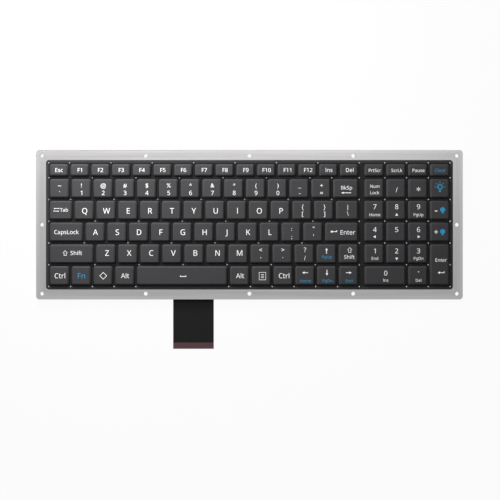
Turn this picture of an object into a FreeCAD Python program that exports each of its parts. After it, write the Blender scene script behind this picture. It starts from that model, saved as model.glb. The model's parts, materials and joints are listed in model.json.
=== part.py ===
import FreeCAD, Part
import os
from fractions import Fraction

import Sketcher

# A keyboard for building into a panel. A metal plate with twelve screw holes carries a black
# grid in its window, and 102 hard key caps stand through the grid on a rubber dome sheet. A
# circuit board lies behind the sheet, a shallow pan closes the back, and a flat flexible tail
# leaves the pan at the lower edge.
#
# The plane z = 0 is the plate's rear face, which seats on the panel. The origin is the middle of
# the screw pattern, x runs to the right, y to the top row and z out of the key tops.

DIMENSIONS = [
    ("key_unit", 19.05, "pitch of the rows, and of the number pad's keys"),
    ("function_depth", 13.05, "depth of the function row's cells"),
    ("main_width", 271.8, "width of the main block of keys"),
    ("pad_gap", 3.3, "space between the main block and the number pad"),
    ("backspace_width", 24.15, "cell of the backspace key"),
    ("left_shift_width", 40.4, "cell of the left shift key"),
    ("field_margin", 2.5, "grid outside the outermost key cells"),
    ("flange_width", 8.85, "plate left bare round the grid"),
    ("plate_thickness", 2.0, "sheet of the mounting plate"),
    ("plate_radius", 3.0, "outer corners of the plate"),
    ("hole_inset", 5.0, "screw holes, from the plate's edges"),
    ("hole_radius", 1.7, "clearance hole for a 3 mm screw"),
    ("lip_overlap", 1.2, "how far the grid's lip lies on the plate"),
    ("lip_thickness", 0.6, "how far the grid stands above the plate"),
    ("lip_radius", 2.5, "corners of the grid's lip"),
    ("window_clearance", 0.2, "grid in the window, each side"),
    ("cavity_inset", 0.2, "grid's skirt inside the outer cell edges"),
    ("web_thickness", 1.2, "grid between the keys, front to back"),
    ("web_width", 1.85, "grid between two neighbouring openings"),
    ("cap_clearance", 0.3, "key cap in its opening, each side"),
    ("cap_draft", 0.2, "slope of the cap's sides, each side"),
    ("cap_side_height", 2.8, "cap's sides above the retaining flange"),
    ("cap_edge_run", 0.9, "slope round the cap's top, seen from above"),
    ("cap_edge_height", 1.0, "slope round the cap's top, its height"),
    ("flange_ledge", 0.7, "retaining flange outside the cap"),
    ("flange_thickness", 0.7, "retaining flange under the grid"),
    ("key_travel", 1.6, "stroke of a key"),
    ("dome_set", 0.1, "height left in a dome at full stroke"),
    ("dome_base", 8.0, "dome at the sheet"),
    ("dome_top", 5.0, "dome under the key"),
    ("space_dome_pitch", 28.0, "outer domes under the space bar"),
    ("sheet_thickness", 0.6, "dome sheet between the domes"),
    ("board_thickness", 1.0, "circuit board"),
    ("board_clearance", 0.3, "circuit board in the pan, each side"),
    ("pan_wall", 0.8, "sheet of the rear pan"),
    ("nut_reach", 3.25, "room for a nut between a screw's axis and the pan"),
    ("rivet_radius", 0.68, "rivet heads on the grid"),
    ("rivet_height", 0.3, "rivet heads above the grid"),
    ("lamp_length", 3.8, "backlight lamp, along x"),
    ("lamp_width", 0.7, "backlight lamp, along y"),
    ("lamp_height", 0.6, "backlight lamp, above the board"),
    ("lamp_pitch", 54.0, "backlight lamps along a row"),
    ("lamp_clearance", 0.1, "backlight lamp outside the dome sheet"),
    ("tail_width", 35.8, "flexible tail"),
    ("tail_thickness", 0.3, "flexible tail"),
    ("tail_offset", 49.4, "tail's middle, to the left of the origin"),
    ("tail_reach", 43.8, "tail beyond the plate's lower edge"),
    ("tail_lap", 6.0, "tail bonded under the board"),
    ("tail_lead", 0.6, "tail straight on past the pan"),
    ("tail_ramp", 6.0, "length over which the tail drops to the pan's level"),
    ("tail_clearance", 1.0, "notch of the pan round the tail"),
    ("notch_height", 1.2, "notch of the pan, above its back"),
    ("stiffener_length", 5.5, "stiff strip on the tail's end"),
    ("stiffener_thickness", 0.2, "stiff strip on the tail's end"),
]

PAD_COLUMNS = 4
LAMPS_PER_ROW = 6
RIVET_SIDES = 6

doc = FreeCAD.newDocument("panel_keyboard")
sheet = doc.addObject("Spreadsheet::Sheet", "Dimensions")
for line, (alias, size, note) in enumerate(DIMENSIONS, start=1):
    sheet.set(f"A{line}", alias)
    sheet.set(f"B{line}", str(size))
    sheet.set(f"C{line}", note)
    sheet.setAlias(f"B{line}", alias)
doc.recompute()


class Span:
    """A length as a sum of the sheet's values, which can be written as an expression."""

    def __init__(self, **terms):
        self.terms = {alias: Fraction(share) for alias, share in terms.items()}

    def __add__(self, other):
        total = Span(**self.terms)
        for alias, share in other.terms.items():
            total.terms[alias] = total.terms.get(alias, 0) + share
        return total

    def __mul__(self, factor):
        return Span(**{alias: share * factor for alias, share in self.terms.items()})

    def __truediv__(self, divisor):
        return self * Fraction(1, divisor)

    def __neg__(self):
        return self * -1

    def __sub__(self, other):
        return self + -other

    def text(self):
        words = [
            f"({share.numerator} / {share.denominator}) * Dimensions.{alias}"
            for alias, share in self.terms.items()
            if share
        ]
        return " + ".join(words) or "0"

    def value(self):
        return sum(float(share) * sheet.get(alias) for alias, share in self.terms.items())


def bind(item, **sizes):
    """Ties properties of an object to the sheet."""
    for name, span in sizes.items():
        item.setExpression(name, span.text())


def place(item, x, y, z):
    """Ties an object's place to the sheet."""
    bind(item, **{"Placement.Base.x": x, "Placement.Base.y": y, "Placement.Base.z": z})


# Sizes along the keyboard. The main block's rows are all filled to the same width: its thirteen
# number keys share what the backspace key leaves, and the keys at the ends of the other rows take
# up what the letter keys leave.
UNIT = Span(key_unit=1)
MAIN = Span(main_width=1)
FUNCTION_ROW = Span(function_depth=1)
LEFT_SHIFT = Span(left_shift_width=1)
BACKSPACE = Span(backspace_width=1)
PITCH = (MAIN - BACKSPACE) / 13
FUNCTION = MAIN / 15
TAB = (MAIN - PITCH * 12) / 2
CAPS = (MAIN - PITCH * 11) / 2
LOWER = (MAIN - LEFT_SHIFT) / 12
SPACE_BAR = MAIN - PITCH * 10

PAD = UNIT * PAD_COLUMNS
BLOCK = (MAIN + Span(pad_gap=1) + PAD, FUNCTION_ROW + UNIT * 5)


def grown(size, **by):
    """A width and depth made larger by the same lengths on every side."""
    return tuple(length + Span(**by) * 2 for length in size)


FIELD = grown(BLOCK, field_margin=1)
PLATE = grown(FIELD, flange_width=1)
WINDOW = grown(FIELD, lip_overlap=-1)
GRID_BODY = grown(WINDOW, window_clearance=-1)
CAVITY = grown(BLOCK, cavity_inset=-1)
PAN = grown(PLATE, hole_inset=-1, nut_reach=-1)
PAN_INSIDE = grown(PAN, pan_wall=-1)
BOARD = grown(PAN_INSIDE, board_clearance=-1)

# Levels, from the front of the grid down through the stack to the back of the pan.
PLATE_REAR = Span()
PLATE_FRONT = Span(plate_thickness=1)
GRID_FRONT = PLATE_FRONT + Span(lip_thickness=1)
WEB_REAR = GRID_FRONT - Span(web_thickness=1)
FLANGE_REAR = WEB_REAR - Span(flange_thickness=1)
DOME_HEIGHT = Span(key_travel=1, dome_set=1)
SHEET_FRONT = FLANGE_REAR - DOME_HEIGHT
BOARD_FRONT = SHEET_FRONT - Span(sheet_thickness=1)
PAN_FLOOR = BOARD_FRONT - Span(board_thickness=1)
PAN_REAR = PAN_FLOOR - Span(pan_wall=1)


# The keys, row by row from the top, each with the width of its cell. The names that start with
# key_ are nodes of their own; the other caps are collected into three groups further on.
def letters(text, width):
    return [(f"key_{letter}", width) for letter in text]


def named(text, width):
    return [(word, width) for word in text.split()]


ROWS = [
    (
        FUNCTION_ROW,
        named("key_escape f1 f2 f3 f4 f5 f6 f7 f8 f9 f10 f11 f12 insert delete", FUNCTION),
        named("print_screen scroll_lock pause clear", UNIT),
    ),
    (
        UNIT,
        named("grave", PITCH)
        + letters("1234567890", PITCH)
        + named("minus equals", PITCH)
        + named("key_backspace", BACKSPACE),
        named("num_lock pad_divide pad_multiply backlight", UNIT),
    ),
    (
        UNIT,
        named("key_tab", TAB)
        + letters("qwertyuiop", PITCH)
        + named("left_bracket right_bracket", PITCH)
        + named("backslash", TAB),
        named("pad_7 pad_8 pad_9 dimmer", UNIT),
    ),
    (
        UNIT,
        named("key_caps_lock", CAPS)
        + letters("asdfghjkl", PITCH)
        + named("semicolon quote", PITCH)
        + named("key_enter", CAPS),
        named("pad_4 pad_5 pad_6 brighter", UNIT),
    ),
    (
        UNIT,
        named("key_left_shift", LEFT_SHIFT)
        + letters("zxcvbnm", LOWER)
        + named("comma period slash cursor_up key_right_shift", LOWER),
        named("pad_1 pad_2 pad_3 pad_enter", UNIT),
    ),
    (
        UNIT,
        named("key_left_control key_function meta key_left_alt", PITCH)
        + named("key_space", SPACE_BAR)
        + named("right_alt menu right_control cursor_left cursor_down cursor_right", PITCH),
        named("pad_0", UNIT * 2) + named("pad_point", UNIT),
    ),
]


class Cell:
    """The rectangle of the layout that one key fills."""

    def __init__(self, name, group, x, y, width, depth):
        self.name = name
        self.group = group
        self.x = x
        self.y = y
        self.width = width
        self.depth = depth

    def size(self, **by):
        return grown((self.width, self.depth), **by)


def lay_out():
    """All key cells, and for each row its top line and the cell boundaries along it."""
    cells = []
    lines = []
    top = BLOCK[1] / 2
    for number, (depth, main_keys, pad_keys) in enumerate(ROWS):
        boundaries = []
        starts = (-BLOCK[0] / 2, BLOCK[0] / 2 - PAD)
        for start, keys in zip(starts, (main_keys, pad_keys)):
            left = start
            edges = [left]
            for name, width in keys:
                # The pad's enter key takes up the last two rows.
                tall = depth * 2 if name == "pad_enter" else depth
                if name.startswith("key_"):
                    group = None
                elif number == 0:
                    group = "function_row_keys"
                elif start is starts[1]:
                    group = "number_pad_keys"
                else:
                    group = "symbol_and_cursor_keys"
                cells.append(Cell(name, group, left + width / 2, top - tall / 2, width, tall))
                left = left + width
                edges.append(left)
            boundaries.append(edges)
        lines.append((top, boundaries[0], boundaries[1]))
        top = top - depth
    lines.append((top, [], []))
    return cells, lines


CELLS, LINES = lay_out()


# Sketches of the sheet parts and the grid's frame.
def sketch_on(body, name, role, level=None):
    sketch = body.newObject("Sketcher::SketchObject", name)
    support = next(item for item in body.Origin.OriginFeatures if item.Role == role)
    sketch.AttachmentSupport = [(support, "")]
    sketch.MapMode = "FlatFace"
    if level is not None:
        bind(sketch, **{"AttachmentOffset.Base.z": level})
    return sketch


def dimension(sketch, kind, *places_and_span):
    *places, span = places_and_span
    index = sketch.addConstraint(Sketcher.Constraint(kind, *places, span.value()))
    sketch.setExpression(f"Constraints[{index}]", span.text())


def pin(sketch, item, point, x, y):
    """Holds a point of the sketch at x, y from the sketch's origin."""
    for kind, axis, span in (("DistanceX", -2, x), ("DistanceY", -1, y)):
        if span.text() == "0":
            sketch.addConstraint(Sketcher.Constraint("PointOnObject", item, point, axis))
        else:
            dimension(sketch, kind, -1, 1, item, point, span)


def rounded_rectangle(sketch, size, radius):
    """A rectangle round the sketch's origin with four equal corner arcs."""
    half_x = size[0].value() / 2
    half_y = size[1].value() / 2
    corner = radius.value()
    in_x = half_x - corner
    in_y = half_y - corner
    ends = [
        ((-in_x, -half_y), (in_x, -half_y)),
        ((half_x, -in_y), (half_x, in_y)),
        ((in_x, half_y), (-in_x, half_y)),
        ((-half_x, in_y), (-half_x, -in_y)),
    ]
    sides = []
    for start, end in ends:
        segment = Part.LineSegment(FreeCAD.Vector(*start, 0), FreeCAD.Vector(*end, 0))
        sides.append(sketch.addGeometry(segment))
    arcs = []
    quarter = 1.5707963267948966
    middles = [(in_x, -in_y), (in_x, in_y), (-in_x, in_y), (-in_x, -in_y)]
    for turn, middle in enumerate(middles):
        circle = Part.Circle(FreeCAD.Vector(*middle, 0), FreeCAD.Vector(0, 0, 1), corner)
        arc = Part.ArcOfCircle(circle, (turn - 1) * quarter, turn * quarter)
        arcs.append(sketch.addGeometry(arc))
    for turn in range(4):
        following = sides[(turn + 1) % 4]
        sketch.addConstraint(Sketcher.Constraint("Tangent", sides[turn], 2, arcs[turn], 1))
        sketch.addConstraint(Sketcher.Constraint("Tangent", arcs[turn], 2, following, 1))
    for turn in (0, 2):
        sketch.addConstraint(Sketcher.Constraint("Horizontal", sides[turn]))
        sketch.addConstraint(Sketcher.Constraint("Vertical", sides[turn + 1]))
    for turn in (1, 2, 3):
        sketch.addConstraint(Sketcher.Constraint("Equal", arcs[0], arcs[turn]))
    dimension(sketch, "Radius", arcs[0], radius)
    dimension(sketch, "DistanceX", sides[3], 1, sides[1], 1, size[0])
    dimension(sketch, "DistanceY", sides[0], 1, sides[2], 1, size[1])
    sketch.addConstraint(Sketcher.Constraint("Symmetric", arcs[3], 3, arcs[1], 3, -1, 1))


def circles(sketch, centres, radius):
    """Equal circles at the given places."""
    first = None
    for x, y in centres:
        middle = FreeCAD.Vector(x.value(), y.value(), 0)
        circle = Part.Circle(middle, FreeCAD.Vector(0, 0, 1), radius.value())
        item = sketch.addGeometry(circle)
        pin(sketch, item, 3, x, y)
        if first is None:
            first = item
            dimension(sketch, "Radius", item, radius)
        else:
            sketch.addConstraint(Sketcher.Constraint("Equal", first, item))


def outline(sketch, corners):
    """A closed run of straight lines through the given corners."""
    places = [FreeCAD.Vector(x.value(), y.value(), 0) for x, y in corners]
    sides = []
    for index, place_here in enumerate(places):
        following = places[(index + 1) % len(places)]
        sides.append(sketch.addGeometry(Part.LineSegment(place_here, following)))
    for index, (x, y) in enumerate(corners):
        following = sides[(index + 1) % len(sides)]
        sketch.addConstraint(Sketcher.Constraint("Coincident", sides[index], 2, following, 1))
        pin(sketch, sides[index], 1, x, y)


def rectangle(sketch, size):
    """A rectangle round the sketch's origin with sharp corners."""
    x = size[0] / 2
    y = size[1] / 2
    outline(sketch, [(-x, -y), (x, -y), (x, y), (-x, y)])


def pad(body, name, sketch, length):
    feature = body.newObject("PartDesign::Pad", name)
    feature.Profile = sketch
    bind(feature, Length=length)
    return feature


def pocket(body, name, sketch, length, upward=False):
    """A pocket that cuts down from its sketch, or up from it."""
    feature = body.newObject("PartDesign::Pocket", name)
    feature.Profile = sketch
    feature.Reversed = upward
    bind(feature, Length=length)
    return feature


def box(name, size, x, y, rear, height):
    """A block centred on x, y that stands on the level rear."""
    item = doc.addObject("Part::Box", name)
    bind(item, Length=size[0], Width=size[1], Height=height)
    place(item, x - size[0] / 2, y - size[1] / 2, rear)
    return item


def frustum(name, base, top, x, y, rear, height):
    """A block whose four sides slope in from its base to its top."""
    item = doc.addObject("Part::Wedge", name)
    bind(item, Xmin=-base[0] / 2, Xmax=base[0] / 2, Zmin=-base[1] / 2, Zmax=base[1] / 2)
    bind(item, X2min=-top[0] / 2, X2max=top[0] / 2, Z2min=-top[1] / 2, Z2max=top[1] / 2)
    item.Ymin = 0
    bind(item, Ymax=height)
    upright = FreeCAD.Rotation(FreeCAD.Vector(1, 0, 0), 90)
    item.Placement = FreeCAD.Placement(FreeCAD.Vector(), upright)
    place(item, x, y, rear)
    return item


def collected(kind, label, items):
    """Several objects taken together, as one body or as a group of separate ones."""
    whole = doc.addObject(f"Part::{kind}", label)
    if kind == "Compound":
        whole.Links = items
    else:
        whole.Shapes = items
    return whole


def cut(label, base, tool):
    whole = doc.addObject("Part::Cut", label)
    whole.Base = base
    whole.Tool = tool
    return whole


pieces = []
pockets = []


# The mounting plate is one flat profile with its window and screw holes.
def mounting_plate():
    body = doc.addObject("PartDesign::Body", "mounting_plate")
    profile = sketch_on(body, "plate_profile", "XY_Plane")
    rounded_rectangle(profile, PLATE, Span(plate_radius=1))
    rectangle(profile, WINDOW)
    across = PLATE[0] / 2 - Span(hole_inset=1)
    along = PLATE[1] / 2 - Span(hole_inset=1)
    centres = [(across * Fraction(step, 2), along * side) for side in (1, -1) for step in range(-2, 3)]
    centres += [(-across, Span()), (across, Span())]
    circles(profile, centres, Span(hole_radius=1))
    pad(body, "plate_sheet", profile, PLATE_FRONT)
    return body


# The grid: a body in the window, a lip that lies on the plate, a cavity behind the web, and one
# opening for each key.
def key_bezel():
    body = doc.addObject("PartDesign::Body", "bezel_frame")
    inside = sketch_on(body, "bezel_body_profile", "XY_Plane", SHEET_FRONT)
    rectangle(inside, GRID_BODY)
    pad(body, "bezel_body", inside, PLATE_FRONT - SHEET_FRONT)
    lip = sketch_on(body, "bezel_lip_profile", "XY_Plane", PLATE_FRONT)
    rounded_rectangle(lip, FIELD, Span(lip_radius=1))
    lipped = pad(body, "bezel_lip", lip, Span(lip_thickness=1))
    hollow = sketch_on(body, "bezel_cavity_profile", "XY_Plane", SHEET_FRONT)
    rectangle(hollow, CAVITY)
    hollowed = pocket(body, "bezel_cavity", hollow, WEB_REAR - SHEET_FRONT, upward=True)
    pockets.append((lipped, hollowed))
    openings = []
    for cell in CELLS:
        size = tuple(length - Span(web_width=1) for length in (cell.width, cell.depth))
        name = f"opening_{cell.name}"
        openings.append(box(name, size, cell.x, cell.y, WEB_REAR, Span(web_thickness=1)))
    return cut("key_bezel", body, collected("Compound", "key_openings", openings))


# A key: a cap with drafted sides and a sloping edge round its top, on a flange that the grid
# holds back.
def key(cell):
    half_web = Fraction(-1, 2)
    cap = cell.size(web_width=half_web, cap_clearance=-1)
    flange = cell.size(web_width=half_web, cap_clearance=-1, flange_ledge=1)
    shoulder = cell.size(web_width=half_web, cap_clearance=-1, cap_draft=-1)
    crown = cell.size(web_width=half_web, cap_clearance=-1, cap_draft=-1, cap_edge_run=-1)
    side = Span(cap_side_height=1)
    edge = Span(cap_edge_height=1)
    name = cell.name
    solids = [
        box(f"{name}_flange", flange, cell.x, cell.y, FLANGE_REAR, Span(flange_thickness=1)),
        frustum(f"{name}_sides", cap, shoulder, cell.x, cell.y, WEB_REAR, side),
        frustum(f"{name}_edge", shoulder, crown, cell.x, cell.y, WEB_REAR + side, edge),
    ]
    return collected("MultiFuse", name if cell.group is None else f"{name}_cap", solids)


def keys():
    groups = {}
    for cell in CELLS:
        item = key(cell)
        if cell.group is None:
            pieces.append(item)
        else:
            groups.setdefault(cell.group, []).append(item)
    for label, items in groups.items():
        pieces.append(collected("Compound", label, items))


# The lamps stand on the board along both long edges of the dome sheet and light it from the side.
def backlight_leds():
    size = (Span(lamp_length=1), Span(lamp_width=1))
    away = GRID_BODY[1] / 2 + Span(lamp_clearance=1) + size[1] / 2
    middle = Fraction(LAMPS_PER_ROW - 1, 2)
    lamps = []
    for side in (1, -1):
        for step in range(LAMPS_PER_ROW):
            x = Span(lamp_pitch=1) * (step - middle)
            name = f"lamp_{len(lamps)}"
            lamps.append(box(name, size, x, away * side, BOARD_FRONT, Span(lamp_height=1)))
    return collected("Compound", "backlight_leds", lamps)


# The dome sheet: a mat with a dome in the middle of each key, and three along the space bar.
def dome_sheet():
    mat = box("dome_mat", GRID_BODY, Span(), Span(), BOARD_FRONT, Span(sheet_thickness=1))
    base = (Span(dome_base=1), Span(dome_base=1))
    top = (Span(dome_top=1), Span(dome_top=1))
    raised = [mat]
    for cell in CELLS:
        steps = (-1, 0, 1) if cell.name == "key_space" else (0,)
        for step in steps:
            x = cell.x + Span(space_dome_pitch=1) * step
            name = f"dome_{cell.name}_{step + 1}"
            raised.append(frustum(name, base, top, x, cell.y, SHEET_FRONT, DOME_HEIGHT))
    return collected("MultiFuse", "dome_sheet", raised)


def circuit_board():
    return box("circuit_board", BOARD, Span(), Span(), PAN_FLOOR, Span(board_thickness=1))


# The rear pan: a tray whose rim meets the plate, with a notch in its lower wall and floor where
# the tail leaves.
TAIL_X = Span(tail_offset=-1)
PAN_EDGE = -PAN[1] / 2
BOARD_EDGE = -BOARD[1] / 2
TAIL_END = -PLATE[1] / 2 - Span(tail_reach=1)


def rear_pan():
    body = doc.addObject("PartDesign::Body", "rear_pan")
    outside = sketch_on(body, "pan_profile", "XY_Plane", PAN_REAR)
    rectangle(outside, PAN)
    block = pad(body, "pan_block", outside, -PAN_REAR)
    inside = sketch_on(body, "pan_inside_profile", "XY_Plane", PLATE_REAR)
    rectangle(inside, PAN_INSIDE)
    tray = pocket(body, "pan_inside", inside, -PAN_FLOOR)
    notch = sketch_on(body, "pan_notch_profile", "XY_Plane", PAN_REAR + Span(notch_height=1))
    half = Span(tail_width=Fraction(1, 2), tail_clearance=1)
    inner = BOARD_EDGE + Span(tail_lap=1, tail_clearance=1)
    outer = PAN_EDGE - Span(tail_clearance=1)
    outline(
        notch,
        [
            (TAIL_X - half, outer),
            (TAIL_X + half, outer),
            (TAIL_X + half, inner),
            (TAIL_X - half, inner),
        ],
    )
    notched = pocket(body, "pan_notch", notch, Span(notch_height=1))
    pockets.append((block, tray))
    pockets.append((tray, notched))
    return body


# The tail is bonded under the board's edge, leaves through the notch, drops to the level of the
# pan's back and lies flat from there on. Its section is drawn from the side.
def ribbon_tail():
    body = doc.addObject("PartDesign::Body", "ribbon_tail")
    section = sketch_on(body, "tail_section", "YZ_Plane", TAIL_X)
    thick = Span(tail_thickness=1)
    start = BOARD_EDGE + Span(tail_lap=1)
    bend = PAN_EDGE - Span(tail_lead=1)
    level = bend - Span(tail_ramp=1)
    high = PAN_FLOOR
    low = PAN_REAR + thick
    upper = [(start, high), (bend, high), (level, low), (TAIL_END, low)]
    outline(section, upper + [(y, z - thick) for y, z in reversed(upper)])
    film = pad(body, "tail_film", section, Span(tail_width=1))
    film.SideType = "Symmetric"
    return body


def tail_stiffener():
    size = (Span(tail_width=1), Span(stiffener_length=1))
    middle = TAIL_END + Span(stiffener_length=1) / 2
    seat = PAN_REAR + Span(tail_thickness=1)
    return box("tail_stiffener", size, TAIL_X, middle, seat, Span(stiffener_thickness=1))


# Rivets sit on crossings of the grid. Each line has one at both ends of the main block and at
# chosen boundaries of one of the rows that it divides: an entry is the row whose cells are counted
# and those boundaries. The pad has one at each boundary of the row under the line.
RIVETED = [
    (0, range(1, 14, 2)),
    (1, [*range(2, 13, 2), 13]),
    (1, range(1, 14, 2)),
    (2, range(2, 13, 2)),
    (3, range(1, 12, 2)),
    (4, range(1, 12, 2)),
    (5, range(1, 11)),
]


def grid_rivets():
    places = []
    for line, (row, steps) in enumerate(RIVETED):
        level = LINES[line][0]
        main_edges = LINES[row][1]
        pad_edges = LINES[min(line, len(ROWS) - 1)][2]
        places += [(main_edges[step], level) for step in (0, *steps, -1)]
        places += [(edge, level) for edge in pad_edges[1:PAD_COLUMNS]]
        places.append((BLOCK[0] / 2, level))
    heads = []
    for index, (x, y) in enumerate(places):
        head = doc.addObject("Part::Prism", f"rivet_{index}")
        head.Polygon = RIVET_SIDES
        bind(head, Circumradius=Span(rivet_radius=1), Height=Span(rivet_height=1))
        place(head, x, y, GRID_FRONT)
        heads.append(head)
    return collected("Compound", "grid_rivets", heads)


pieces.append(mounting_plate())
pieces.append(key_bezel())
pieces.append(grid_rivets())
keys()
pieces.append(dome_sheet())
pieces.append(backlight_leds())
pieces.append(circuit_board())
pieces.append(rear_pan())
pieces.append(ribbon_tail())
pieces.append(tail_stiffener())
doc.recompute()

for item in doc.Objects:
    if "Invalid" in item.State or "Error" in item.State:
        raise RuntimeError(f"{item.Label} could not be built: {item.State}")
for whole, less in pockets:
    if not less.Shape.Volume < whole.Shape.Volume - 1:
        raise RuntimeError(f"{less.Label} cuts nothing away")
for item in pieces:
    if item.Shape.isNull() or not item.Shape.isValid() or not item.Shape.Solids:
        raise RuntimeError(f"{item.Label} has no sound shape")

os.makedirs("parts", exist_ok=True)
for item in pieces:
    item.Shape.exportStep(f"parts/{item.Label}.step")
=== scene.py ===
# %% [markdown]
# # A keyboard for building into a panel
# The real thing is a brushed metal plate with a black grid in its window. Hard grey caps stand
# through the grid on a rubber sheet, small bright rivets hold the grid down, and a flat black tail
# leaves at the lower edge. The sizes and the motion come with the frame, so this lesson makes what
# the eye sees: rounded caps with their printed legends, the plate's edge, the rivets, and a finish
# for each surface. First the frame is loaded, and its box is kept for the floor's level.

# %% Load the frame
import json
import math
from collections import namedtuple

import bmesh
import bpy
from mathutils import Matrix, Vector

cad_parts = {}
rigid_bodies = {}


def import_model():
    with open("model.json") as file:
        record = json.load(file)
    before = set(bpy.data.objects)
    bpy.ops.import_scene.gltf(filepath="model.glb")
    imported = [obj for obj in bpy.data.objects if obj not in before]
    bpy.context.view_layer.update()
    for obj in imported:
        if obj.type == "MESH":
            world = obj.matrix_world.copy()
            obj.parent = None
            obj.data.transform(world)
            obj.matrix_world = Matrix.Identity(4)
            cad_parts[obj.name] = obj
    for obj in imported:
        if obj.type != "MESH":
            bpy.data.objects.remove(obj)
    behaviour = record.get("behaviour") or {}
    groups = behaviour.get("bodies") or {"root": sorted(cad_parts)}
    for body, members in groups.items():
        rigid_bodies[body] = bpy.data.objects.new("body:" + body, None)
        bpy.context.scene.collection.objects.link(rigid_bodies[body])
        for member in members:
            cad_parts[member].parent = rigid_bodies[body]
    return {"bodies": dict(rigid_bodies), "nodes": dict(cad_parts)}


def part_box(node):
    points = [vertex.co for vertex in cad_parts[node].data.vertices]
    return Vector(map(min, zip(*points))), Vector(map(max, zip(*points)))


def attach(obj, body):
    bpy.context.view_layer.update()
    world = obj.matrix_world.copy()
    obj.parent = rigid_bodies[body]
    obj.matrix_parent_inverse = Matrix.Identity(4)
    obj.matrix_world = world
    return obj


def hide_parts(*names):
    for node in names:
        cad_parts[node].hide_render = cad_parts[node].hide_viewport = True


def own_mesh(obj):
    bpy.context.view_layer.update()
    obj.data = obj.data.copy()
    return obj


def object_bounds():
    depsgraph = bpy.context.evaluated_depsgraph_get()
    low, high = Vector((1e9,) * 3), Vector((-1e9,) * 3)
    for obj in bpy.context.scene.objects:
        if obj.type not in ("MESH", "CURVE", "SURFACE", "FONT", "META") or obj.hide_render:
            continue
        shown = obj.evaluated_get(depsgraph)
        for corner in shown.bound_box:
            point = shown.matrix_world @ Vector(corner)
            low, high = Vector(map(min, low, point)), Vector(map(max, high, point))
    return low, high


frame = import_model()
cad_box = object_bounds()
MM = 0.001

# %% [markdown]
# ## The rows of keys
# A keyboard is a set of rows that are all filled to the same width. A table of names and widths is
# enough to find every key, and it reads more easily than a hundred places. The letter keys share
# one pitch, and the keys at the ends of a row take up what is left. A name that starts with key_ is
# a node of the frame with a joint of its own.

# %% Rows
UNIT = 19.05 * MM
FUNCTION_DEPTH = 13.05 * MM
MAIN = 271.8 * MM
PAD_GAP = 3.3 * MM
PAD_COLUMNS = 4
LEFT_SHIFT = 40.4 * MM
FUNCTION = MAIN / 15
TAB = (MAIN - 12 * UNIT) / 2
CAPS = (MAIN - 11 * UNIT) / 2
LOWER = (MAIN - LEFT_SHIFT) / 12
BLOCK_WIDTH = MAIN + PAD_GAP + PAD_COLUMNS * UNIT
BLOCK_DEPTH = FUNCTION_DEPTH + 5 * UNIT


def named(text, width):
    """Keys of one width, by their names."""
    return [(name, width) for name in text.split()]


def letters(text, width):
    """Keys of one width, by the letters or figures on them."""
    return [(f"key_{letter}", width) for letter in text]


ROWS = [
    (
        FUNCTION_DEPTH,
        named("key_escape f1 f2 f3 f4 f5 f6 f7 f8 f9 f10 f11 f12 insert delete", FUNCTION),
        named("print_screen scroll_lock pause clear", UNIT),
    ),
    (
        UNIT,
        named("grave", UNIT)
        + letters("1234567890", UNIT)
        + named("minus equals", UNIT)
        + named("key_backspace", MAIN - 13 * UNIT),
        named("num_lock pad_divide pad_multiply backlight", UNIT),
    ),
    (
        UNIT,
        named("key_tab", TAB)
        + letters("qwertyuiop", UNIT)
        + named("left_bracket right_bracket", UNIT)
        + named("backslash", TAB),
        named("pad_7 pad_8 pad_9 dimmer", UNIT),
    ),
    (
        UNIT,
        named("key_caps_lock", CAPS)
        + letters("asdfghjkl", UNIT)
        + named("semicolon quote", UNIT)
        + named("key_enter", CAPS),
        named("pad_4 pad_5 pad_6 brighter", UNIT),
    ),
    (
        UNIT,
        named("key_left_shift", LEFT_SHIFT)
        + letters("zxcvbnm", LOWER)
        + named("comma period slash cursor_up key_right_shift", LOWER),
        named("pad_1 pad_2 pad_3 pad_enter", UNIT),
    ),
    (
        UNIT,
        named("key_left_control key_function meta key_left_alt", UNIT)
        + named("key_space", MAIN - 10 * UNIT)
        + named("right_alt menu right_control cursor_left cursor_down cursor_right", UNIT),
        named("pad_0", 2 * UNIT) + named("pad_point", UNIT),
    ),
]
block_size = [round(length / MM, 1) for length in (BLOCK_WIDTH, BLOCK_DEPTH)]
print("rows", len(ROWS), "in a block of", block_size, "mm")

# %% [markdown]
# ## A cell for each key
# Each key owns a cell: the rectangle from the middle of one gap to the middle of the next. A walk
# along the rows gives each cell its place, and the boundaries between the cells, which the rivets
# follow later. The keys without a node of their own share three nodes. To see that the table fits,
# the space bar's cell is compared with its node.

# %% Cells
Cell = namedtuple("Cell", "name node x y width depth")


def node_of(name, row, block):
    """The frame's node that a key is in."""
    if name.startswith("key_"):
        return name
    if row == 0:
        return "function_row_keys"
    return ("symbol_and_cursor_keys", "number_pad_keys")[block]


def lay_out():
    """All cells, and for each row its top line and the cell boundaries of both blocks."""
    cells = []
    lines = []
    top = BLOCK_DEPTH / 2
    starts = (-BLOCK_WIDTH / 2, BLOCK_WIDTH / 2 - PAD_COLUMNS * UNIT)
    for row, (depth, *blocks) in enumerate(ROWS):
        boundaries = []
        for block, (left, keys) in enumerate(zip(starts, blocks)):
            edges = [left]
            for name, width in keys:
                tall = 2 * depth if name == "pad_enter" else depth
                node = node_of(name, row, block)
                cells.append(Cell(name, node, left + width / 2, top - tall / 2, width, tall))
                left += width
                edges.append(left)
            boundaries.append(edges)
        lines.append((top, *boundaries))
        top -= depth
    lines.append((top, [], []))
    return cells, lines


CELLS, LINES = lay_out()
node_low, node_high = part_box("key_space")
space_bar = next(cell for cell in CELLS if cell.name == "key_space")
space_offset = abs((node_low.x + node_high.x) / 2 - space_bar.x)
print("cells", len(CELLS), "space bar off by", round(space_offset / MM, 3), "mm")

# %% [markdown]
# ## Writing shaders as sums
# A finish is a small network of nodes. Added one by one, the nodes hide the thought behind them, so
# one class wraps a socket and lets plain Python operators add the Math nodes. Every other node goes
# through one method that takes its type, its settings and its inputs. Object coordinates are in
# metres here, so a noise of scale 2000 has grains of about half a millimetre.

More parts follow.
